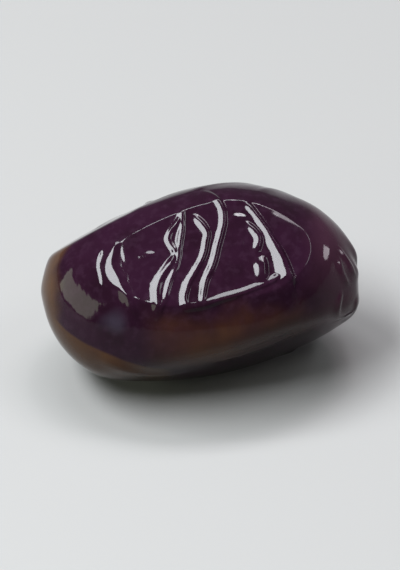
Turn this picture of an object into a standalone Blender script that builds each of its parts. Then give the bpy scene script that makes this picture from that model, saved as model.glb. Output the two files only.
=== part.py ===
# Black olive, dry-cured and wrinkled. It is one fruit, so it is one solid.
# It lies on a small flat spot. Metres, +Z up, origin on the floor under the middle of the olive.
# The long axis runs along X, with the stalk end at +X. The front, at -Y, has the big facet.
# Lengths below are millimetres. Angles are degrees round the long axis, from the top (0)
# towards the front (90), with the underside at 180 and the back at -90.

import math
from collections import namedtuple

import bmesh
import bpy
import numpy as np
from mathutils import Matrix

Facet = namedtuple("Facet", "x angle depth roundness edge")
Swell = namedtuple("Swell", "x angle height reach")
Fold = namedtuple("Fold", "height half_width path end_spread", defaults=(1.0,))
Lumps = namedtuple("Lumps", "wavelength reach shift")

# Driving dimensions: the plain body, before the flesh swells and sinks and the skin folds
LENGTH = 27.4
WIDTH = 17.5
HEIGHT = 17.1
FLAT_SPOT_CUT = 0.45

# Outline: a superellipse, blunter at the stalk end
STALK_END_POWER = 2.15
TIP_END_POWER = 2.2
WIDEST_AT = 0.03

# Grid of the surface: rings along X and segments round it, closer together at the front
RINGS = 100
SEGMENTS = 56
RING_CROWDING = 0.125
SEGMENT_CROWDING = 0.3
CROWDED_AT = math.radians(10.0)

# Facets, where the flesh shrank and the skin went nearly flat: depth below the plain body,
# roundness left (one over its radius), and how soft the edge is
FACETS = (
    Facet(x=-1.0, angle=27.0, depth=1.15, roundness=0.014, edge=0.015),
    Facet(x=-8.0, angle=-42.0, depth=1.25, roundness=0.020, edge=0.30),
    Facet(x=6.4, angle=124.0, depth=1.75, roundness=0.024, edge=0.80),
    Facet(x=0.5, angle=-92.0, depth=1.00, roundness=0.022, edge=0.35),
    Facet(x=5.0, angle=-146.0, depth=0.40, roundness=0.030, edge=0.35),
)

# Broad swells of the flesh
SWELLS = (
    Swell(x=-8.2, angle=128.0, height=0.95, reach=6.0),
    Swell(x=11.4, angle=112.0, height=0.60, reach=3.4),
)

# Folds: ridges of skin, each on a smooth path through places given as (x, angle). The side to
# the right of the path's direction is the gentle one.
FRONT_FOLDS = (
    Fold(0.050, 0.26, ((-9.0, 15.0), (-9.35, 28.0), (-9.3, 38.0), (-9.1, 49.0))),
    Fold(0.070, 0.34, ((-7.8, 8.0), (-8.0, 22.0), (-8.1, 32.0), (-7.5, 43.0), (-6.9, 53.0),
                       (-6.2, 65.0)), 1.5),
    Fold(0.020, 0.30, ((-7.1, 18.0), (-6.9, 31.0))),
    Fold(0.09, 0.40, ((-4.0, 27.0), (-5.7, 27.0))),
    Fold(0.12, 0.34, ((-1.8, -5.0), (-2.1, 12.0), (-2.3, 22.0), (-2.6, 33.0), (-3.2, 43.0), (-3.7, 53.0),
                      (-4.2, 65.0))),
    Fold(0.10, 0.32, ((-1.9, 1.0), (-3.1, 13.0), (-3.1, 19.0), (-2.3, 30.0))),
    Fold(0.15, 0.42, ((-2.6, 28.0), (-3.5, 36.0), (-4.1, 43.0), (-4.4, 52.0), (-4.4, 65.0))),
    Fold(0.14, 0.36, ((-0.8, 3.0), (0.1, 13.0), (0.0, 21.0), (-0.3, 29.0), (-1.1, 38.0), (-1.8, 47.0),
                      (-2.1, 55.0), (-1.7, 62.0))),
    Fold(0.14, 0.36, ((0.4, -17.0), (1.4, -3.0), (1.6, 7.0), (1.3, 15.0), (0.9, 24.0), (0.5, 34.0),
                      (-0.2, 45.0), (-0.6, 59.0))),
    Fold(0.07, 0.34, ((4.0, 7.0), (2.1, 6.0))),
    Fold(0.19, 0.42, ((3.4, 9.0), (4.4, 19.0), (4.1, 29.0))),
    Fold(0.06, 0.30, ((3.0, 19.0), (2.8, 25.0))),
    Fold(0.17, 0.38, ((3.5, -5.0), (4.8, 10.0), (5.4, 18.0), (5.9, 25.0), (6.3, 33.0), (6.8, 42.0),
                      (7.1, 49.0)), 2.6),
    Fold(0.16, 0.42, ((6.6, 41.5), (5.4, 46.5), (3.6, 51.5), (1.5, 56.0), (-0.4, 60.0), (-2.3, 62.0))),
    Fold(0.24, 0.62, ((4.5, 30.0), (4.6, 38.0), (4.7, 47.0))),
    Fold(0.07, 0.80, ((5.4, 3.0), (6.8, 9.0), (9.0, 16.0))),
)
END_FOLDS = (
    Fold(0.08, 0.28, ((11.5, 17.0), (12.3, 29.0), (12.8, 44.0))),
    Fold(0.08, 0.28, ((11.4, 29.0), (11.7, 40.0), (12.3, 56.0))),
    Fold(0.09, 0.28, ((11.6, 62.0), (11.3, 80.0), (11.4, 97.0), (11.9, 110.0), (12.6, 104.0), (12.8, 84.0))),
)
TOP_FOLDS = (
    Fold(0.05, 0.52, ((-6.4, -14.0), (-4.6, -26.0), (-2.2, -34.0))),
    Fold(0.06, 0.54, ((-1.0, -24.0), (1.2, -33.0), (4.6, -44.0))),
    Fold(0.05, 0.54, ((5.0, -22.0), (6.4, -38.0), (8.6, -50.0))),
    Fold(0.06, 0.50, ((-9.6, -20.0), (-8.8, -42.0), (-7.2, -62.0))),
)
BACK_FOLDS = (
    Fold(0.15, 0.50, ((-7.6, -68.0), (-7.2, -84.0), (-6.0, -98.0), (-5.4, -112.0))),
    Fold(0.17, 0.55, ((-5.2, -56.0), (-4.2, -71.0), (-4.6, -86.0), (-3.5, -100.0), (-2.9, -115.0))),
    Fold(0.13, 0.45, ((-2.7, -64.0), (-1.9, -76.0), (-2.3, -90.0))),
    Fold(0.19, 0.60, ((-0.6, -58.0), (0.5, -73.0), (-0.2, -88.0), (0.7, -102.0), (0.2, -118.0))),
    Fold(0.15, 0.50, ((2.5, -54.0), (3.4, -69.0), (2.8, -82.0), (3.6, -97.0))),
    Fold(0.18, 0.55, ((5.2, -60.0), (6.3, -76.0), (5.6, -90.0), (6.4, -104.0), (5.7, -117.0))),
    Fold(0.13, 0.45, ((8.3, -68.0), (8.9, -83.0), (8.2, -98.0))),
    Fold(0.13, 0.45, ((-3.2, -104.0), (-1.2, -110.0), (0.8, -105.0), (2.9, -111.0))),
)
LOW_FOLDS = (
    Fold(0.11, 0.75, ((-9.0, 98.0), (-5.0, 114.0), (-2.0, 120.0))),
    Fold(0.12, 0.75, ((1.0, 106.0), (4.4, 105.0), (8.6, 94.0))),
    Fold(0.16, 0.70, ((-8.4, -132.0), (-5.4, -142.0), (-2.0, -140.0))),
    Fold(0.16, 0.70, ((1.6, -134.0), (5.0, -132.0), (8.8, -122.0))),
    Fold(0.12, 0.70, ((-8.6, 138.0), (-7.4, 156.0), (-7.0, 172.0))),
    Fold(0.12, 0.70, ((8.0, 150.0), (7.2, 170.0), (7.0, 190.0))),
)
ALL_FOLDS = FRONT_FOLDS + END_FOLDS + TOP_FOLDS + BACK_FOLDS + LOW_FOLDS
CURVE_STEPS = 8
GENTLE_SIDE = 1.25
STEEP_SIDE = 0.65
SPREAD_POWER = 2.0
CREST_SHARE = 1.45
TROUGH_SHARE = 0.45
TROUGH_WIDTH = 2.6
FOLD_END = 1.0

# The grid is too coarse for the narrowest folds, so all of them are this much wider here
FOLD_WIDENING = 1.3

# Stalk end: the scar that the stalk left, in a shallow funnel with puckered skin round it
FUNNEL_RADIUS = 3.1
FUNNEL_DEPTH = 0.42
SCAR_RADIUS = 1.2
SCAR_EDGE = 0.8
SCAR_RISE = 0.14
PUCKERS = 7
PUCKER_HEIGHT = 0.13
PUCKER_START = 1.4
PUCKER_REACH = 5.2

# Soft shoulder before the stalk end, on the front
SHOULDER_AT = 9.4
SHOULDER_ANGLE = 25.0
SHOULDER_HALF_ANGLE = 75.0
SHOULDER_HEIGHT = 0.12
SHOULDER_HALF_WIDTH = 1.3

# The small blunt point at the other end
TIP_HEIGHT = 0.12
TIP_RADIUS = 1.0

# Lumps in the flesh, and the skin's wander, which bends every fold a little
FLESH_LUMPS = (Lumps(15.0, 0.22, 3.1), Lumps(8.0, 0.09, 8.4))
WANDER_ALONG = Lumps(3.0, 0.05, 11.3)
WANDER_ROUND = Lumps(3.0, 0.05, 27.9)
WAVES = 9

# The underside is smooth where it rests: the share of relief that fades, and where
FLOOR_FADE = 0.92
FLOOR_FADE_ANGLES = (132.0, 158.0)
FLOOR_FADE_X = (5.0, 8.0)

MM = 0.001


# Small helpers

def smooth_step(low, high, value):
    """0 below low, 1 above high, and a smooth rise between them."""
    t = np.clip((value - low) / (high - low), 0.0, 1.0)
    return t * t * (3.0 - 2.0 * t)


def bump(value):
    """1 at 0, falling off as a bell curve."""
    return np.exp(-(value**2))


def turn_between(angle, around):
    """The turn in radians from an angle in degrees, the short way."""
    return (around - math.radians(angle) + math.pi) % (2.0 * math.pi) - math.pi


def lumpy(points, lumps):
    """Smooth lumps: waves from directions spread evenly over a sphere, added up."""
    total = np.zeros(len(points))
    for number in range(WAVES):
        z = 2.0 * (number + 0.5) / WAVES - 1.0
        turn = number * math.pi * (3.0 - math.sqrt(5.0))
        level = math.sqrt(1.0 - z * z)
        way = np.array([level * math.cos(turn), level * math.sin(turn), z])
        total += np.sin(points @ way * 2.0 * math.pi / lumps.wavelength + lumps.shift * (number + 1))
    return lumps.reach * total / math.sqrt(WAVES)


# Flesh: broad swells and facets on the plain body

def on_body(x, angle):
    """The plain body's point at a place along it and an angle round it."""
    share = 2.0 * x / LENGTH
    girth = math.sqrt(1.0 - abs(share) ** TIP_END_POWER)
    turn = math.radians(angle)
    return np.array([x, -WIDTH / 2 * girth * math.sin(turn), HEIGHT / 2 * girth * math.cos(turn)])


def swollen(points, swell):
    """Height of one broad swell of the flesh."""
    away = np.linalg.norm(points - on_body(swell.x, swell.angle), axis=1)
    return swell.height * bump(away / swell.reach)


def eased(value, edge):
    """The value where it is above 0, and 0 below, with a rounded corner."""
    return np.where(value > edge, value, np.clip(value + edge, 0.0, None) ** 2 / (4.0 * edge))


def flattened(points, facet):
    """The points pushed in to one facet, where they stand out over it."""
    top = on_body(facet.x, facet.angle)
    way = outward(top[None, :])[0]
    from_facet = points - (top - facet.depth * way)
    over = from_facet @ way + facet.roundness / 2 * (from_facet**2).sum(axis=1)
    return points - way * eased(over, facet.edge)[:, None]


# Skin relief: each function gives a height above the flesh, where x is the place along the
# olive and around is the angle in radians

def curve_through(path):
    """Points close together on a smooth curve through the path, as x and girth in millimetres."""
    knots = np.array([(x, math.radians(angle) * WIDTH / 2) for x, angle in path])
    knots = np.vstack([2.0 * knots[0] - knots[1], knots, 2.0 * knots[-1] - knots[-2]])
    t = np.arange(CURVE_STEPS)[:, None] / CURVE_STEPS
    runs = []
    for a, b, c, d in zip(knots, knots[1:], knots[2:], knots[3:]):
        bend = (2.0 * a - 5.0 * b + 4.0 * c - d) * t**2 + (3.0 * b - a - 3.0 * c + d) * t**3
        runs.append(b + (c - a) * t / 2.0 + bend / 2.0)
    return np.vstack(runs + [knots[-2:-1]])


def gap_to_curve(curve, places):
    """Distance of each place from the curve, whether it lies on the gentle side of it, and the
    distances of the curve's nearest point from the curve's start and end."""
    runs = np.diff(curve, axis=0)
    lengths = np.linalg.norm(runs, axis=1)
    travelled = np.concatenate([[0.0], np.cumsum(lengths)])
    gap = np.full(len(places), np.inf)
    travelled_here = np.zeros(len(places))
    gentle = np.zeros(len(places), bool)
    for start, run, length, before in zip(curve, runs, lengths, travelled):
        from_start = places - start
        t = np.clip(from_start @ run / length**2, 0.0, 1.0)
        this_gap = np.linalg.norm(from_start - t[:, None] * run, axis=1)
        nearer = this_gap < gap
        gap[nearer] = this_gap[nearer]
        travelled_here[nearer] = before + t[nearer] * length
        gentle[nearer] = (run[0] * from_start[:, 1] - run[1] * from_start[:, 0])[nearer] > 0.0
    return gap, gentle, travelled_here, travelled[-1] - travelled_here


def folded(fold, x, around):
    """One ridge of skin with a slight trough on each side, fading out at both ends."""
    middle = (fold.path[0][1] + fold.path[-1][1]) / 2
    girth = (turn_between(middle, around) + math.radians(middle)) * WIDTH / 2
    curve = curve_through(fold.path)
    base_width = fold.half_width * FOLD_WIDENING
    reach = 3.0 * TROUGH_WIDTH * base_width * fold.end_spread
    places = np.column_stack([x, girth])
    near = np.all((places > curve.min(axis=0) - reach) & (places < curve.max(axis=0) + reach), axis=1)
    gap, gentle, from_start, from_end = gap_to_curve(curve, places[near])
    spread = 1.0 + (fold.end_spread - 1.0) * (from_start / (from_start + from_end)) ** SPREAD_POWER
    half_width = base_width * np.where(gentle, GENTLE_SIDE * spread, STEEP_SIDE)
    crest = CREST_SHARE * bump(gap / half_width)
    trough = TROUGH_SHARE * bump(gap / (TROUGH_WIDTH * half_width))
    height = np.zeros_like(x)
    ends = smooth_step(-FOLD_END / 2, FOLD_END, np.minimum(from_start, from_end))
    height[near] = fold.height * spread * ends * (crest - trough)
    return height


def stalk_end(x, away, around):
    """Funnel, scar and puckers, by the distance away from the long axis."""
    funnel = -FUNNEL_DEPTH * (1.0 - smooth_step(0.0, FUNNEL_RADIUS, away))
    scar = SCAR_RISE * (1.0 - smooth_step(SCAR_RADIUS - SCAR_EDGE, SCAR_RADIUS, away))
    inner = smooth_step(SCAR_RADIUS, SCAR_RADIUS + PUCKER_START, away)
    outer = 1.0 - smooth_step(SCAR_RADIUS + PUCKER_START, PUCKER_REACH, away)
    uneven = 0.65 + 0.35 * np.sin(3.0 * around + 0.8)
    waves = np.cos(PUCKERS * around + 0.9 * np.sin(2.0 * around + 0.5) + 0.3 * away)
    puckers = PUCKER_HEIGHT * inner * outer * uneven * waves
    return np.where(x > 0.0, funnel + scar + puckers, 0.0)


def shoulder(x, around):
    """The soft edge across the front where the stalk end begins."""
    across = turn_between(SHOULDER_ANGLE, around) / math.radians(SHOULDER_HALF_ANGLE)
    return SHOULDER_HEIGHT * bump((x - SHOULDER_AT) / SHOULDER_HALF_WIDTH) * bump(across)


def tip_end(x, away):
    """The small blunt point opposite the stalk."""
    return np.where(x < 0.0, TIP_HEIGHT * bump(away / TIP_RADIUS), 0.0)


def relief(points):
    """Height of the folds and ridges of the skin at each point of the plain body."""
    x, y, z = points.T
    around = np.arctan2(-y, z)
    away = np.hypot(y, z)
    moved_x = x + lumpy(points, WANDER_ALONG)
    moved_around = around + lumpy(points, WANDER_ROUND) / (WIDTH / 2)
    folds = np.array([folded(fold, moved_x, moved_around) for fold in ALL_FOLDS])
    height = folds.max(axis=0) + folds.min(axis=0)
    height = height + shoulder(moved_x, around)
    return height + stalk_end(x, away, around) + tip_end(x, away)


def floor_fade(points):
    """Share of the relief that is kept: little of it under the middle, where the olive rests."""
    x, y, z = points.T
    below = np.degrees(np.abs(np.arctan2(-y, z)))
    under = smooth_step(*FLOOR_FADE_ANGLES, below) * (1.0 - smooth_step(*FLOOR_FADE_X, np.abs(x)))
    return 1.0 - FLOOR_FADE * under


def plain_body(directions):
    """Points of the plain body for unit directions from its middle."""
    angle = np.arccos(np.clip(directions[:, 0], -1.0, 1.0))
    share = np.cos(angle + RING_CROWDING * np.sin(2.0 * angle))
    blunter = (STALK_END_POWER - TIP_END_POWER) * smooth_step(-0.3, 0.6, share)
    girth = np.sqrt(np.clip(1.0 - np.abs(share) ** (TIP_END_POWER + blunter), 0.0, None))
    turn = np.arctan2(-directions[:, 1], directions[:, 2])
    turn = turn - SEGMENT_CROWDING * np.sin(turn - CROWDED_AT)
    x = LENGTH / 2 * (share + WIDEST_AT * (1.0 - share**2))
    y = -WIDTH / 2 * girth * np.sin(turn)
    z = HEIGHT / 2 * girth * np.cos(turn)
    return np.column_stack([x, y, z])


def outward(points):
    """Unit normals of the ellipsoid that the body is close to."""
    half_sizes = np.array([LENGTH, WIDTH, HEIGHT]) / 2
    normals = points / half_sizes**2
    return normals / np.linalg.norm(normals, axis=1)[:, None]


def rested(points):
    """The points with the underside pressed flat, and the floor at height 0."""
    floor = points[:, 2].min() + FLAT_SPOT_CUT
    points = points.copy()
    points[:, 2] = np.maximum(points[:, 2], floor) - floor
    middle = (points.min(axis=0) + points.max(axis=0)) / 2
    points[:, :2] -= middle[:2]
    return points


def olive_points(directions):
    """The olive's surface in metres for unit directions from its middle."""
    body = plain_body(directions)
    normals = outward(body)
    kept = floor_fade(body)
    flesh = kept * sum(lumpy(body, lumps) for lumps in FLESH_LUMPS)
    flesh += sum(swollen(body, swell) for swell in SWELLS)
    points = body + normals * flesh[:, None]
    for facet in FACETS:
        points = flattened(points, facet)
    return rested(points + normals * (relief(body) * kept)[:, None]) * MM


# Scene

def clear_scene():
    for old in list(bpy.data.objects):
        bpy.data.objects.remove(old)


def skin_material():
    material = bpy.data.materials.new("olive_skin")
    material.use_nodes = True
    shader = material.node_tree.nodes["Principled BSDF"]
    shader.inputs["Base Color"].default_value = (0.035, 0.012, 0.028, 1.0)
    shader.inputs["Roughness"].default_value = 0.18
    shader.inputs["Metallic"].default_value = 0.0
    return material


def make_olive():
    mesh = bpy.data.meshes.new("olive")
    bm = bmesh.new()
    bmesh.ops.create_uvsphere(bm, u_segments=SEGMENTS, v_segments=RINGS, radius=1.0)
    bmesh.ops.rotate(bm, verts=bm.verts, matrix=Matrix.Rotation(math.pi / 2, 3, "Y"))
    directions = np.array([v.co[:] for v in bm.verts])
    for vertex, place in zip(bm.verts, olive_points(directions)):
        vertex.co = place
    bmesh.ops.recalc_face_normals(bm, faces=bm.faces)
    bm.to_mesh(mesh)
    bm.free()
    mesh.shade_smooth()
    mesh.materials.append(skin_material())
    olive = bpy.data.objects.new("olive", mesh)
    bpy.context.scene.collection.objects.link(olive)
    return olive


clear_scene()
make_olive()
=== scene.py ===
import math
from collections import namedtuple

import bpy
import numpy as np
from mathutils import Matrix, Vector


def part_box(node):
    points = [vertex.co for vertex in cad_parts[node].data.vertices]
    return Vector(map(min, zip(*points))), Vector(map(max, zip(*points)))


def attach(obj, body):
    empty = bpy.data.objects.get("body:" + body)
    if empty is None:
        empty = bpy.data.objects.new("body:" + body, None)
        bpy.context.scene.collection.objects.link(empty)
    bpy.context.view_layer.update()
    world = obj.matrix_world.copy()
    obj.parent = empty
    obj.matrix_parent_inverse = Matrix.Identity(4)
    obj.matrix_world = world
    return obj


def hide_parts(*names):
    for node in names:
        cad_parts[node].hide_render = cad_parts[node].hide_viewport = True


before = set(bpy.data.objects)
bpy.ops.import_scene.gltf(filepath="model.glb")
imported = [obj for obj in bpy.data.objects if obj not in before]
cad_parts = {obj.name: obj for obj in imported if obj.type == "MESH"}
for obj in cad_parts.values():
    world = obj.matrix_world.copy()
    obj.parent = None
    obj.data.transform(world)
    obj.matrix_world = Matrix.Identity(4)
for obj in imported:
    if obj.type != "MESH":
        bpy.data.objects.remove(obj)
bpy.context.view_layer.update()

# Lengths in the skin's shape are millimetres. Angles are degrees round the long axis, from the
# top (0) towards the front (90), with the underside at 180 and the back at -90.
Facet = namedtuple("Facet", "x angle depth roundness edge")
Fold = namedtuple("Fold", "height half_width path end_spread", defaults=(1.0,))
Lumps = namedtuple("Lumps", "wavelength reach shift")
Swell = namedtuple("Swell", "x angle height reach")

# Plain body, before the flesh swells and sinks and the skin folds
LENGTH = 27.4
WIDTH = 17.5
HEIGHT = 17.1
FLAT_SPOT_CUT = 0.45

# Outline: a superellipse, a little blunter at the stalk end. The blunting sets in between two
# places along it, given as shares of the half length.
STALK_END_POWER = 2.15
TIP_END_POWER = 2.2
BLUNTING = (-0.3, 0.6)
WIDEST_AT = 0.03

# Grid of the skin: rings along X and segments round it, closer together at the front
RINGS = 340
SEGMENTS = 292
RING_CROWDING = 0.125
SEGMENT_CROWDING = 0.38
CROWDED_AT = math.radians(25.0)

# Facets, where the flesh shrank and the skin went nearly flat: depth below the plain body,
# roundness left (one over its radius), and how soft the edge is
FACETS = (
    Facet(x=-1.0, angle=27.0, depth=1.15, roundness=0.014, edge=0.015),
    Facet(x=-8.0, angle=-42.0, depth=1.25, roundness=0.020, edge=0.30),
    Facet(x=6.4, angle=124.0, depth=1.75, roundness=0.024, edge=0.80),
    Facet(x=0.5, angle=-92.0, depth=1.00, roundness=0.022, edge=0.35),
    Facet(x=5.0, angle=-146.0, depth=0.40, roundness=0.030, edge=0.35),
)

# Broad swells of the flesh
SWELLS = (
    Swell(x=-8.2, angle=128.0, height=0.95, reach=6.0),
    Swell(x=11.4, angle=112.0, height=0.60, reach=3.4),
)

# Folds: ridges of skin, each on a smooth path through places given as (x, angle). The side to
# the right of the path's direction is the gentle one. Towards the path's end a fold gets higher,
# and its gentle side wider, until both are end_spread times what they were.
FRONT_FOLDS = (
    Fold(0.050, 0.26, ((-9.0, 15.0), (-9.35, 28.0), (-9.3, 38.0), (-9.1, 49.0))),
    Fold(0.070, 0.34, ((-7.8, 8.0), (-8.0, 22.0), (-8.1, 32.0), (-7.5, 43.0), (-6.9, 53.0),
                       (-6.2, 65.0)), 1.5),
    Fold(0.020, 0.30, ((-7.1, 18.0), (-6.9, 31.0))),
    Fold(0.09, 0.40, ((-4.0, 27.0), (-5.7, 27.0))),
    Fold(0.12, 0.34, ((-1.8, -5.0), (-2.1, 12.0), (-2.3, 22.0), (-2.6, 33.0), (-3.2, 43.0),
                      (-3.7, 53.0), (-4.2, 65.0))),
    Fold(0.10, 0.32, ((-1.9, 1.0), (-3.1, 13.0), (-3.1, 19.0), (-2.3, 30.0))),
    Fold(0.15, 0.42, ((-2.6, 28.0), (-3.5, 36.0), (-4.1, 43.0), (-4.4, 52.0), (-4.4, 65.0))),
    Fold(0.14, 0.36, ((-0.8, 3.0), (0.1, 13.0), (0.0, 21.0), (-0.3, 29.0), (-1.1, 38.0),
                      (-1.8, 47.0), (-2.1, 55.0), (-1.7, 62.0))),
    Fold(0.14, 0.36, ((0.4, -17.0), (1.4, -3.0), (1.6, 7.0), (1.3, 15.0), (0.9, 24.0),
                      (0.5, 34.0), (-0.2, 45.0), (-0.6, 59.0))),
    Fold(0.07, 0.34, ((4.0, 7.0), (2.1, 6.0))),
    Fold(0.19, 0.42, ((3.4, 9.0), (4.4, 19.0), (4.1, 29.0))),
    Fold(0.06, 0.30, ((3.0, 19.0), (2.8, 25.0))),
    Fold(0.17, 0.38, ((3.5, -5.0), (4.8, 10.0), (5.4, 18.0), (5.9, 25.0), (6.3, 33.0), (6.8, 42.0),
                      (7.1, 49.0)), 2.6),
    Fold(0.16, 0.42, ((6.6, 41.5), (5.4, 46.5), (3.6, 51.5), (1.5, 56.0), (-0.4, 60.0),
                      (-2.3, 62.0))),
    Fold(0.24, 0.62, ((4.5, 30.0), (4.6, 38.0), (4.7, 47.0))),
    Fold(0.07, 0.80, ((5.4, 3.0), (6.8, 9.0), (9.0, 16.0))),
)
END_FOLDS = (
    Fold(0.08, 0.28, ((11.5, 17.0), (12.3, 29.0), (12.8, 44.0))),
    Fold(0.08, 0.28, ((11.4, 29.0), (11.7, 40.0), (12.3, 56.0))),
    Fold(0.09, 0.28, ((11.6, 62.0), (11.3, 80.0), (11.4, 97.0), (11.9, 110.0), (12.6, 104.0),
                      (12.8, 84.0))),
)
TOP_FOLDS = (
    Fold(0.05, 0.52, ((-6.4, -14.0), (-4.6, -26.0), (-2.2, -34.0))),
    Fold(0.06, 0.54, ((-1.0, -24.0), (1.2, -33.0), (4.6, -44.0))),
    Fold(0.05, 0.54, ((5.0, -22.0), (6.4, -38.0), (8.6, -50.0))),
    Fold(0.06, 0.50, ((-9.6, -20.0), (-8.8, -42.0), (-7.2, -62.0))),
)
BACK_FOLDS = (
    Fold(0.15, 0.50, ((-7.6, -68.0), (-7.2, -84.0), (-6.0, -98.0), (-5.4, -112.0))),
    Fold(0.17, 0.55, ((-5.2, -56.0), (-4.2, -71.0), (-4.6, -86.0), (-3.5, -100.0), (-2.9, -115.0))),
    Fold(0.13, 0.45, ((-2.7, -64.0), (-1.9, -76.0), (-2.3, -90.0))),
    Fold(0.19, 0.60, ((-0.6, -58.0), (0.5, -73.0), (-0.2, -88.0), (0.7, -102.0), (0.2, -118.0))),
    Fold(0.15, 0.50, ((2.5, -54.0), (3.4, -69.0), (2.8, -82.0), (3.6, -97.0))),
    Fold(0.18, 0.55, ((5.2, -60.0), (6.3, -76.0), (5.6, -90.0), (6.4, -104.0), (5.7, -117.0))),
    Fold(0.13, 0.45, ((8.3, -68.0), (8.9, -83.0), (8.2, -98.0))),
    Fold(0.13, 0.45, ((-3.2, -104.0), (-1.2, -110.0), (0.8, -105.0), (2.9, -111.0))),
)
LOW_FOLDS = (
    Fold(0.11, 0.75, ((-9.0, 98.0), (-5.0, 114.0), (-2.0, 120.0))),
    Fold(0.12, 0.75, ((1.0, 106.0), (4.4, 105.0), (8.6, 94.0))),
    Fold(0.16, 0.70, ((-8.4, -132.0), (-5.4, -142.0), (-2.0, -140.0))),
    Fold(0.16, 0.70, ((1.6, -134.0), (5.0, -132.0), (8.8, -122.0))),
    Fold(0.12, 0.70, ((-8.6, 138.0), (-7.4, 156.0), (-7.0, 172.0))),
    Fold(0.12, 0.70, ((8.0, 150.0), (7.2, 170.0), (7.0, 190.0))),
)
ALL_FOLDS = FRONT_FOLDS + END_FOLDS + TOP_FOLDS + BACK_FOLDS + LOW_FOLDS

# Every fold's section: its widths as shares of the half width, and its heights as shares of the
# height. A bell curve is as good as 0 at BELL_REACH times its width.
GENTLE_SIDE = 1.25
STEEP_SIDE = 0.65
CREST_SHARE = 1.45
TROUGH_SHARE = 0.45
TROUGH_WIDTH = 2.6
BELL_REACH = 3.0

# Along a fold: how late its spread sets in, the length over which it fades at each end, and the
# straight steps in each stretch of its path
SPREAD_POWER = 2.0
FOLD_END = 1.0
CURVE_STEPS = 8

# Stalk end: the scar that the stalk left, in a shallow funnel with puckered skin round it. The
# puckers are uneven: some are lower, and all drift to the side and twist a little outwards.
FUNNEL_RADIUS = 3.1
FUNNEL_DEPTH = 0.42
SCAR_RADIUS = 1.2
SCAR_EDGE = 0.8
SCAR_RISE = 0.14
PUCKERS = 7
PUCKER_HEIGHT = 0.13
PUCKER_START = 1.4
PUCKER_REACH = 5.2
PUCKER_UNEVENNESS = 0.35
PUCKER_DRIFT = 0.9
PUCKER_TWIST = 0.3
PUCKER_PHASES = (0.8, 0.5)

# Soft shoulder before the stalk end, on the front
SHOULDER_AT = 9.4
SHOULDER_ANGLE = 25.0
SHOULDER_HALF_ANGLE = 75.0
SHOULDER_HEIGHT = 0.12
SHOULDER_HALF_WIDTH = 1.3

# The small blunt point at the other end
TIP_HEIGHT = 0.12
TIP_RADIUS = 1.0

# Lumps in the flesh, and the skin's wander, which bends every fold a little. Both are sums of
# waves, each from a direction a golden turn on from the last.
FLESH_LUMPS = (Lumps(15.0, 0.22, 3.1), Lumps(8.0, 0.09, 8.4))
WANDER_ALONG = Lumps(3.0, 0.05, 11.3)
WANDER_ROUND = Lumps(3.0, 0.05, 27.9)
WAVES = 9
GOLDEN_TURN = math.pi * (3.0 - math.sqrt(5.0))

# The underside is smooth where it rests: the share of relief that fades, and where
FLOOR_FADE = 0.92
FLOOR_FADE_ANGLES = (132.0, 158.0)
FLOOR_FADE_X = (5.0, 8.0)

MM = 0.001

# Colours of the skin, the flank's brown and the tip's tan partly painted reflection, and the grey of a
# painted sheen
AUBERGINE = (0.0088, 0.0023, 0.0066, 1.0)
DARK_PLUM = (0.0058, 0.0016, 0.0040, 1.0)
DUSTY_PLUM = (0.0150, 0.0060, 0.0125, 1.0)
# Brown of the flank: partly browner skin, partly a painted reflection of warm surroundings
FLANK_BROWN_AND_REFLECTION = (0.0350, 0.0130, 0.0055, 1.0)
# Tan of the tip: partly tan skin, partly a painted reflection
TAN_AND_REFLECTION = (0.0330, 0.0155, 0.0062, 1.0)
END_RED = (0.0270, 0.0095, 0.0170, 1.0)
# Grey of a painted sheen: a soft glint painted into the skin's colour low on the front
PAINTED_SHEEN_GREY = (0.0190, 0.0150, 0.0230, 1.0)

# Edges of the colours: where one starts and where it is full, in metres along the olive or
# degrees round it, and the whole width that the drift moves it over
Edge = namedtuple("Edge", "start full wander", defaults=(0.0,))
Spot = namedtuple("Spot", "place x around drift")
BROWN_TOP = Edge(54.0, 80.0, 51.6)
BROWN_BOTTOM = Edge(92.0, 118.0)
BROWN_LEFT = Edge(-0.0060, -0.0005)
BROWN_RIGHT = Edge(0.0030, 0.0070)
TAN_EDGE = Edge(0.0117, 0.0132, 0.0024)
TAN_LOW = Edge(88.0, 112.0)
TAN_TOP = Edge(-15.0, 15.0)
TAN_BACK = Edge(-60.0, -10.0, 57.3)
TAN_UNDER = Edge(118.0, 158.0, 57.3)
RED_EDGE = Edge(0.0080, 0.0112, 0.0030)
# Edge of the painted sheen spot, by distance from its middle
PAINTED_SHEEN_EDGE = Edge(0.0004, 0.0020, 0.0036)
DULL_EDGE = Edge(0.0045, 0.0085, 0.0040)
DULL_FRONT = Edge(4.0, 24.0)
DRIFT_SIZE = 0.0045

# How much further in from the tip the tan reaches low down and on top
TAN_LOW_REACH = 0.0092
TAN_TOP_REACH = 0.0014

# Noise in the skin: its detail makes the lumps soft or ragged. A pattern has the size of its
# lumps in metres, its detail, and the noise where there is none of it and where there is all.
SOFT = 2.0
RAGGED = 3.0
Pattern = namedtuple("Pattern", "size detail none all")
DARK_BLOTCHES = Pattern(0.0030, RAGGED, 0.35, 0.75)
DUST = Pattern(0.0007, SOFT, 0.45, 0.70)
BROWN_PATCHES = Pattern(0.0045, SOFT, 0.38, 0.62)

# How strongly a colour shows where it is full
DUST_SHARE = 0.35
RED_SHARE = 0.70
# The painted sheen's strength, and its place in metres
PAINTED_SHEEN_SHARE = 0.75
PAINTED_SHEEN_AT = (-0.0078, -0.0067, 0.0106)

# Share of the brown that is lost towards the stalk end and between its patches
BROWN_FADE = 0.6
BROWN_GAPS = 0.4

# The least share of tan, and what its mottling adds
TAN_LEAST = 0.55
TAN_MOTTLE = 0.40
TAN_MOTTLE_SIZE = 0.0020

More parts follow.
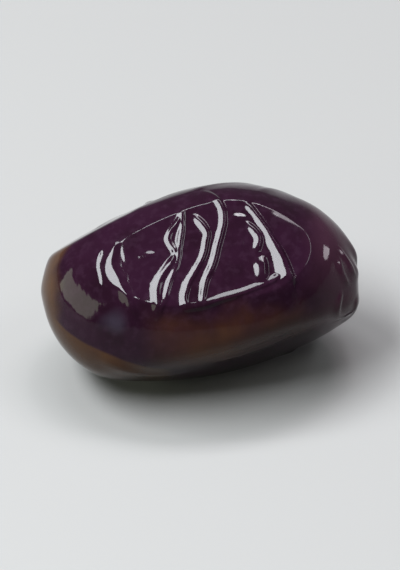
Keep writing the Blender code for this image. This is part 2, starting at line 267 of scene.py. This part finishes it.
# Film of oil: its roughness, smears in it and a duller stretch on top, and waves and pores too
# fine for the mesh, in metres. The waves are squeezed along the olive.
OIL_ROUGHNESS = 0.045
SMEAR_SIZE = 0.0016
SMEAR_ROUGHNESS = 0.05
DULL_ROUGHNESS = 0.12
WAVE_SQUEEZE = (3.2, 1.0, 1.0)
WAVE_SIZE = 0.0030
WAVE_HEIGHT = 0.000030
PORE_SIZE = 0.0005
PORE_HEIGHT = 0.0000015
OIL_IOR = 1.45
OIL_GLOSS = 0.15

# Pale floor, its size in metres
FLOOR_SIZE = 3.0
FLOOR_COLOUR = (0.145, 0.1435, 0.140, 1.0)
FLOOR_ROUGHNESS = 0.6

# Camera, in metres and degrees. Azimuth 0 is in front, at -Y.
CAMERA_AZIMUTH = -3.5
CAMERA_ELEVATION = 42.0
CAMERA_DISTANCE = 0.40
VIEW_WIDTH = 0.0346
SENSOR = 36.0
CLIP_START = 0.01

# Room: what the camera sees behind the floor, and the dim light that the olive mirrors
BACKDROP = (0.72, 0.72, 0.71, 1.0)
ROOM_LIGHT = (0.15, 0.145, 0.155, 1.0)

# Lamps: the way to each from the olive, how wide and how deep it looks from there in degrees,
# and its radiance, where 1 looks as bright as white
LAMP_DISTANCE = 0.5
Lamp = namedtuple("Lamp", "name way width depth radiance colour")
COOL_WHITE = (0.93, 0.97, 1.0)
LAMPS = (
    Lamp("left_strip", (-0.53, -0.12, 1.0), 18.0, 42.0, 48.0, COOL_WHITE),
    Lamp("right_strip", (0.67, -0.09, 1.0), 10.0, 28.0, 11.5, COOL_WHITE),
    Lamp("back_strip", (-0.055, 0.33, 1.0), 27.0, 9.0, 32.0, COOL_WHITE),
    Lamp("back_glow", (0.27, 0.33, 1.0), 20.0, 12.0, 22.0, (1.0, 0.94, 1.0)),
    Lamp("left_window", (-0.88, -0.18, 0.20), 22.0, 58.0, 5.2, (0.92, 1.0, 0.76)),
    Lamp("right_window", (0.88, 0.20, 0.20), 7.0, 16.0, 14.0, (1.0, 0.94, 1.0)),
)


# Shape of the skin

def smooth_step(low, high, value):
    """0 below low, 1 above high, and a smooth rise between them."""
    t = np.clip((value - low) / (high - low), 0.0, 1.0)
    return t * t * (3.0 - 2.0 * t)


def bump(value):
    """1 at 0, falling off as a bell curve."""
    return np.exp(-(value**2))


def turn_between(angle, around):
    """The turn in radians from an angle in degrees, the short way."""
    return (around - math.radians(angle) + math.pi) % (2.0 * math.pi) - math.pi


def lumpy(points, lumps):
    """Smooth lumps: waves from directions spread evenly over a sphere, added up."""
    total = np.zeros(len(points))
    for number in range(WAVES):
        z = 2.0 * (number + 0.5) / WAVES - 1.0
        turn = number * GOLDEN_TURN
        level = math.sqrt(1.0 - z * z)
        way = np.array([level * math.cos(turn), level * math.sin(turn), z])
        total += np.sin(points @ way * 2.0 * math.pi / lumps.wavelength + lumps.shift * (number + 1))
    return lumps.reach * total / math.sqrt(WAVES)


def on_body(x, angle):
    """The plain body's point at a place along it and an angle round it."""
    share = 2.0 * x / LENGTH
    girth = math.sqrt(1.0 - abs(share) ** TIP_END_POWER)
    turn = math.radians(angle)
    return np.array([x, -WIDTH / 2 * girth * math.sin(turn), HEIGHT / 2 * girth * math.cos(turn)])


def swollen(points, swell):
    """Height of one broad swell of the flesh."""
    away = np.linalg.norm(points - on_body(swell.x, swell.angle), axis=1)
    return swell.height * bump(away / swell.reach)


def eased(value, edge):
    """The value where it is above 0, and 0 below, with a rounded corner."""
    return np.where(value > edge, value, np.clip(value + edge, 0.0, None) ** 2 / (4.0 * edge))


def flattened(points, facet):
    """The points pushed in to one facet, where they stand out over it."""
    top = on_body(facet.x, facet.angle)
    way = outward(top[None, :])[0]
    from_facet = points - (top - facet.depth * way)
    over = from_facet @ way + facet.roundness / 2 * (from_facet**2).sum(axis=1)
    return points - way * eased(over, facet.edge)[:, None]


def curve_through(path):
    """Points close together on a smooth curve through the path, as x and girth in millimetres."""
    knots = np.array([(x, math.radians(angle) * WIDTH / 2) for x, angle in path])
    knots = np.vstack([2.0 * knots[0] - knots[1], knots, 2.0 * knots[-1] - knots[-2]])
    t = np.arange(CURVE_STEPS)[:, None] / CURVE_STEPS
    runs = []
    for a, b, c, d in zip(knots, knots[1:], knots[2:], knots[3:]):
        bend = (2.0 * a - 5.0 * b + 4.0 * c - d) * t**2 + (3.0 * b - a - 3.0 * c + d) * t**3
        runs.append(b + (c - a) * t / 2.0 + bend / 2.0)
    return np.vstack(runs + [knots[-2:-1]])


def gap_to_curve(curve, places):
    """Distance of each place from the curve, whether it lies on the gentle side of it, and the
    distances of the curve's nearest point from the curve's start and end."""
    runs = np.diff(curve, axis=0)
    lengths = np.linalg.norm(runs, axis=1)
    travelled = np.concatenate([[0.0], np.cumsum(lengths)])
    gap = np.full(len(places), np.inf)
    travelled_here = np.zeros(len(places))
    gentle = np.zeros(len(places), bool)
    for start, run, length, before in zip(curve, runs, lengths, travelled):
        from_start = places - start
        t = np.clip(from_start @ run / length**2, 0.0, 1.0)
        this_gap = np.linalg.norm(from_start - t[:, None] * run, axis=1)
        nearer = this_gap < gap
        gap[nearer] = this_gap[nearer]
        travelled_here[nearer] = before + t[nearer] * length
        gentle[nearer] = (run[0] * from_start[:, 1] - run[1] * from_start[:, 0])[nearer] > 0.0
    return gap, gentle, travelled_here, travelled[-1] - travelled_here


def folded(fold, x, around):
    """One ridge of skin with a slight trough on each side, fading out at both ends."""
    middle = (fold.path[0][1] + fold.path[-1][1]) / 2
    girth = (turn_between(middle, around) + math.radians(middle)) * WIDTH / 2
    curve = curve_through(fold.path)
    reach = BELL_REACH * TROUGH_WIDTH * fold.half_width * fold.end_spread
    places = np.column_stack([x, girth])
    near = np.all((places > curve.min(axis=0) - reach) & (places < curve.max(axis=0) + reach), axis=1)
    gap, gentle, from_start, from_end = gap_to_curve(curve, places[near])
    spread = 1.0 + (fold.end_spread - 1.0) * (from_start / (from_start + from_end)) ** SPREAD_POWER
    half_width = fold.half_width * np.where(gentle, GENTLE_SIDE * spread, STEEP_SIDE)
    crest = CREST_SHARE * bump(gap / half_width)
    trough = TROUGH_SHARE * bump(gap / (TROUGH_WIDTH * half_width))
    height = np.zeros_like(x)
    ends = smooth_step(-FOLD_END / 2, FOLD_END, np.minimum(from_start, from_end))
    height[near] = fold.height * spread * ends * (crest - trough)
    return height


def stalk_end(x, away, around):
    """Funnel, scar and puckers, by the distance away from the long axis."""
    funnel = -FUNNEL_DEPTH * (1.0 - smooth_step(0.0, FUNNEL_RADIUS, away))
    scar = SCAR_RISE * (1.0 - smooth_step(SCAR_RADIUS - SCAR_EDGE, SCAR_RADIUS, away))
    inner = smooth_step(SCAR_RADIUS, SCAR_RADIUS + PUCKER_START, away)
    outer = 1.0 - smooth_step(SCAR_RADIUS + PUCKER_START, PUCKER_REACH, away)
    uneven = 1.0 - PUCKER_UNEVENNESS * (1.0 - np.sin(3.0 * around + PUCKER_PHASES[0]))
    drift = PUCKER_DRIFT * np.sin(2.0 * around + PUCKER_PHASES[1])
    waves = np.cos(PUCKERS * around + drift + PUCKER_TWIST * away)
    puckers = PUCKER_HEIGHT * inner * outer * uneven * waves
    return np.where(x > 0.0, funnel + scar + puckers, 0.0)


def shoulder(x, around):
    """The soft edge across the front where the stalk end begins."""
    across = turn_between(SHOULDER_ANGLE, around) / math.radians(SHOULDER_HALF_ANGLE)
    return SHOULDER_HEIGHT * bump((x - SHOULDER_AT) / SHOULDER_HALF_WIDTH) * bump(across)


def tip_end(x, away):
    """The small blunt point opposite the stalk."""
    return np.where(x < 0.0, TIP_HEIGHT * bump(away / TIP_RADIUS), 0.0)


def skin_relief(points):
    """Height of the folds and ridges of the skin at each point of the plain body."""
    x, y, z = points.T
    around = np.arctan2(-y, z)
    away = np.hypot(y, z)
    moved_x = x + lumpy(points, WANDER_ALONG)
    moved_around = around + lumpy(points, WANDER_ROUND) / (WIDTH / 2)
    folds = np.array([folded(fold, moved_x, moved_around) for fold in ALL_FOLDS])
    height = folds.max(axis=0) + folds.min(axis=0)
    height = height + shoulder(moved_x, around)
    return height + stalk_end(x, away, around) + tip_end(x, away)


def floor_fade(points):
    """Share of the relief that is kept: little of it under the middle, where the olive rests."""
    x, y, z = points.T
    below = np.degrees(np.abs(np.arctan2(-y, z)))
    under = smooth_step(*FLOOR_FADE_ANGLES, below) * (1.0 - smooth_step(*FLOOR_FADE_X, np.abs(x)))
    return 1.0 - FLOOR_FADE * under


def plain_body(directions):
    """Points of the plain body for unit directions from its middle."""
    angle = np.arccos(np.clip(directions[:, 0], -1.0, 1.0))
    share = np.cos(angle + RING_CROWDING * np.sin(2.0 * angle))
    blunter = (STALK_END_POWER - TIP_END_POWER) * smooth_step(*BLUNTING, share)
    girth = np.sqrt(np.clip(1.0 - np.abs(share) ** (TIP_END_POWER + blunter), 0.0, None))
    turn = np.arctan2(-directions[:, 1], directions[:, 2])
    turn = turn - SEGMENT_CROWDING * np.sin(turn - CROWDED_AT)
    x = LENGTH / 2 * (share + WIDEST_AT * (1.0 - share**2))
    y = -WIDTH / 2 * girth * np.sin(turn)
    z = HEIGHT / 2 * girth * np.cos(turn)
    return np.column_stack([x, y, z])


def outward(points):
    """Unit normals of the ellipsoid that the body is close to."""
    half_sizes = np.array([LENGTH, WIDTH, HEIGHT]) / 2
    normals = points / half_sizes**2
    return normals / np.linalg.norm(normals, axis=1)[:, None]


def skin_points(directions):
    """Points of the skin in metres, set where the solid olive lies."""
    body = plain_body(directions)
    normals = outward(body)
    kept = floor_fade(body)
    flesh = kept * sum(lumpy(body, lumps) for lumps in FLESH_LUMPS)
    flesh += sum(swollen(body, swell) for swell in SWELLS)
    points = body + normals * flesh[:, None]
    for facet in FACETS:
        points = flattened(points, facet)
    points = points + normals * (skin_relief(body) * kept)[:, None]
    floor = points[:, 2].min() + FLAT_SPOT_CUT
    points[:, 2] = np.maximum(points[:, 2], floor) - floor
    points *= MM
    low, high = (np.array(corner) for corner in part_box("olive"))
    middle = (points.min(axis=0) + points.max(axis=0)) / 2
    points[:, :2] += ((low + high) / 2 - middle)[:2]
    return points


# Materials

class Wire:
    """One output in a node tree, so that shader maths reads as plain Python."""

    def __init__(self, tree, socket=None):
        self.tree = tree
        self.socket = socket

    def node(self, kind, settings, inputs, output=0):
        """A new node: its settings first, then a value or a wire for each named input."""
        made = self.tree.nodes.new(kind)
        for name, value in settings.items():
            setattr(made, name, value)
        for name, value in inputs.items():
            if isinstance(value, Wire):
                self.tree.links.new(value.socket, made.inputs[name])
            else:
                made.inputs[name].default_value = value
        return Wire(self.tree, made.outputs[output])

    def maths(self, operation, *values):
        return self.node("ShaderNodeMath", {"operation": operation}, dict(enumerate(values)))

    def __add__(self, other):
        return self.maths("ADD", self, other)

    def __sub__(self, other):
        return self.maths("SUBTRACT", self, other)

    def __rsub__(self, other):
        return self.maths("SUBTRACT", other, self)

    def __mul__(self, other):
        return self.maths("MULTIPLY", self, other)

    __radd__ = __add__
    __rmul__ = __mul__

    def rise(self, low, high):
        """0 below low, 1 above high, and a smooth rise between them."""
        settings = {"interpolation_type": "SMOOTHSTEP"}
        return self.node("ShaderNodeMapRange", settings, {"Value": self, "From Min": low, "From Max": high})


def blended(factor, first, second):
    """The first colour where factor is 0, the second where it is 1. The node has sockets of the
    same name for numbers, vectors and colours, so these go by number."""
    return factor.node("ShaderNodeMix", {"data_type": "RGBA"}, {0: factor, 6: first, 7: second}, output=2)


def new_material(name):
    material = bpy.data.materials.new(name)
    material.use_nodes = True
    return material, material.node_tree.nodes["Principled BSDF"]


def speckle(place, size, detail=SOFT):
    """Noise from 0 to 1 with lumps of that size in metres."""
    return place.node("ShaderNodeTexNoise", {}, {"Vector": place, "Scale": 1.0 / size, "Detail": detail})


def patches(place, pattern):
    """0 between the patches of a pattern, 1 in them."""
    return speckle(place, pattern.size, pattern.detail).rise(pattern.none, pattern.all)


def on_skin(tree):
    """A spot of the skin as wires: its place, how far it is along the olive in metres and round it
    in degrees, and the drift, a slow noise from -0.5 to 0.5 that moves the colours' edges."""
    place = Wire(tree).node("ShaderNodeTexCoord", {}, {}, output="Object")
    x, y, z = (place.node("ShaderNodeSeparateXYZ", {}, {"Vector": place}, output=axis) for axis in "XYZ")
    axis_height = sum(corner[2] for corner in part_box("olive")) / 2
    around = place.maths("DEGREES", place.maths("ARCTAN2", -1.0 * y, z - axis_height))
    return Spot(place, x, around, speckle(place, DRIFT_SIZE) - 0.5)


def past(edge, value, spot):
    """0 before an edge, 1 past it, with the edge moved by the drift."""
    if edge.wander:
        value = value + spot.drift * edge.wander
    return value.rise(edge.start, edge.full)


def flank_brown_and_reflection(spot):
    """Share of brown low on the front, in patches and strongest in the middle: partly browner skin, partly
    a painted reflection.
    """
    band = past(BROWN_TOP, spot.around, spot) * (1.0 - past(BROWN_BOTTOM, spot.around, spot))
    along = past(BROWN_LEFT, spot.x, spot) * (1.0 - BROWN_FADE * past(BROWN_RIGHT, spot.x, spot))
    return band * along * (1.0 - BROWN_GAPS * (1.0 - patches(spot.place, BROWN_PATCHES)))


def tip_tan_and_reflection(spot):
    """Share of tan at the tip, partly tan skin and partly painted reflection. It reaches furthest in low on
    the front.
    """
    low = past(TAN_LOW, spot.around, spot) * TAN_LOW_REACH
    top = (1.0 - past(TAN_TOP, spot.around, spot)) * TAN_TOP_REACH
    band = past(TAN_EDGE, low + top - spot.x, spot)
    front = past(TAN_BACK, spot.around, spot) * (1.0 - past(TAN_UNDER, spot.around, spot))
    return band * front * (TAN_LEAST + TAN_MOTTLE * speckle(spot.place, TAN_MOTTLE_SIZE, RAGGED))


def painted_sheen(spot):
    """Share of grey in the small painted sheen low on the front: a soft glint painted into the colour."""
    inputs = {0: spot.place, 1: PAINTED_SHEEN_AT}
    away = spot.place.node("ShaderNodeVectorMath", {"operation": "DISTANCE"}, inputs, output="Value")
    return PAINTED_SHEEN_SHARE * (1.0 - past(PAINTED_SHEEN_EDGE, away, spot))


def skin_colour(spot):
    """Aubergine with darker blotches and dust, under the flank's brown and the tip's tan, both partly
    painted reflection, the stalk end's red and a painted sheen spot.
    """
    colour = blended(patches(spot.place, DARK_BLOTCHES), AUBERGINE, DARK_PLUM)
    colour = blended(DUST_SHARE * patches(spot.place, DUST), colour, DUSTY_PLUM)
    # Brown on the flank, partly painted reflection
    colour = blended(flank_brown_and_reflection(spot), colour, FLANK_BROWN_AND_REFLECTION)
    colour = blended(RED_SHARE * past(RED_EDGE, spot.x, spot), colour, END_RED)
    # Tan at the tip, partly painted reflection
    colour = blended(tip_tan_and_reflection(spot), colour, TAN_AND_REFLECTION)
    # Painted sheen: a grey glint painted on low at the front
    return blended(painted_sheen(spot), colour, PAINTED_SHEEN_GREY)


def skin_roughness(spot):
    """Wet with oil all over, and duller on top towards the stalk end."""
    dull_top = past(DULL_EDGE, spot.x, spot) * (1.0 - past(DULL_FRONT, spot.around, spot))
    smears = speckle(spot.place, SMEAR_SIZE)
    return OIL_ROUGHNESS + smears * SMEAR_ROUGHNESS + dull_top * DULL_ROUGHNESS


def skin_normal(spot):
    """Slow waves and fine pores."""
    squeezed = spot.place.node("ShaderNodeMapping", {}, {"Vector": spot.place, "Scale": WAVE_SQUEEZE})
    waves = speckle(squeezed, WAVE_SIZE) * WAVE_HEIGHT
    pores = speckle(spot.place, PORE_SIZE) * PORE_HEIGHT
    return waves.node("ShaderNodeBump", {}, {"Height": waves + pores, "Distance": 1.0, "Strength": 1.0})


def oily_skin():
    """Dark aubergine skin, browner low down and tan at the tip, partly painted reflection, with a painted
    sheen spot, under a film of oil.
    """
    material, shader = new_material("oily_skin")
    spot = on_skin(material.node_tree)
    looks = {"Base Color": skin_colour, "Roughness": skin_roughness, "Normal": skin_normal}
    for name, look in looks.items():
        material.node_tree.links.new(look(spot).socket, shader.inputs[name])
    shader.inputs["IOR"].default_value = OIL_IOR
    shader.inputs["Specular IOR Level"].default_value = OIL_GLOSS
    return material


def pale_floor():
    material, shader = new_material("pale_floor")
    shader.inputs["Base Color"].default_value = FLOOR_COLOUR
    shader.inputs["Roughness"].default_value = FLOOR_ROUGHNESS
    return material


# Pieces

def deselect_all():
    for thing in bpy.context.selected_objects:
        thing.select_set(False)


def make_skin():
    """The olive's skin, finer than the solid that it stands for."""
    deselect_all()
    bpy.ops.mesh.primitive_uv_sphere_add(segments=SEGMENTS, ring_count=RINGS, radius=1.0,
                                         rotation=(0.0, math.pi / 2, 0.0))
    skin = bpy.context.object
    skin.name = "olive_skin"
    bpy.ops.object.transform_apply(location=True, rotation=True, scale=True)
    directions = np.array([v.co[:] for v in skin.data.vertices])
    skin.data.vertices.foreach_set("co", skin_points(directions).ravel())
    skin.data.update()
    bpy.ops.object.mode_set(mode="EDIT")
    bpy.ops.mesh.select_all(action="SELECT")
    bpy.ops.mesh.normals_make_consistent(inside=False)
    bpy.ops.object.mode_set(mode="OBJECT")
    bpy.ops.object.shade_smooth()
    skin.data.materials.clear()
    skin.data.materials.append(oily_skin())
    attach(skin, "root")
    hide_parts("olive")


def make_floor():
    deselect_all()
    bpy.ops.mesh.primitive_plane_add(size=FLOOR_SIZE)
    floor = bpy.context.object
    floor.name = "floor"
    floor.data.materials.append(pale_floor())


# Light and camera

def towards(azimuth, elevation):
    """Unit vector from the olive towards a place in the room."""
    a = math.radians(azimuth)
    e = math.radians(elevation)
    return Vector((math.sin(a) * math.cos(e), -math.cos(a) * math.cos(e), math.sin(e)))


def add_lamp(lamp, middle):
    """A rectangular soft light that faces the olive."""
    out = Vector(lamp.way).normalized()
    along = (Vector((0.0, 1.0, 0.0)) - out.y * out).normalized()
    light = bpy.data.lights.new(lamp.name, "AREA")
    light.shape = "RECTANGLE"
    light.size = 2.0 * LAMP_DISTANCE * math.tan(math.radians(lamp.width / 2))
    light.size_y = 2.0 * LAMP_DISTANCE * math.tan(math.radians(lamp.depth / 2))
    light.energy = lamp.radiance * math.pi * light.size * light.size_y
    light.color = lamp.colour
    holder = bpy.data.objects.new(lamp.name, light)
    holder.location = middle + out * LAMP_DISTANCE
    holder.rotation_euler = Matrix((along.cross(out), along, out)).transposed().to_euler()
    bpy.context.scene.collection.objects.link(holder)


def set_world(camera_sees, olive_sees):
    """A dim room for the olive's reflections, and a pale backdrop for the camera."""
    world = bpy.data.worlds.new("room")
    world.use_nodes = True
    bpy.context.scene.world = world
    background = world.node_tree.nodes["Background"]
    ray = Wire(world.node_tree).node("ShaderNodeLightPath", {}, {}, output="Is Camera Ray")
    colour = blended(ray, olive_sees, camera_sees)
    world.node_tree.links.new(colour.socket, background.inputs["Color"])


def set_camera(middle):
    camera = bpy.data.objects.new("camera", bpy.data.cameras.new("camera"))
    camera.location = middle + towards(CAMERA_AZIMUTH, CAMERA_ELEVATION) * CAMERA_DISTANCE
    camera.rotation_euler = (middle - camera.location).to_track_quat("-Z", "Y").to_euler()
    camera.data.sensor_fit = "HORIZONTAL"
    camera.data.sensor_width = SENSOR
    camera.data.lens = SENSOR * CAMERA_DISTANCE / VIEW_WIDTH
    camera.data.clip_start = CLIP_START
    bpy.context.scene.collection.objects.link(camera)
    bpy.context.scene.camera = camera


make_skin()
make_floor()

low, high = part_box("olive")
middle = (low + high) / 2
for lamp in LAMPS:
    add_lamp(lamp, middle)
set_world(BACKDROP, ROOM_LIGHT)
set_camera(middle)
bpy.context.scene.view_settings.view_transform = "Standard"
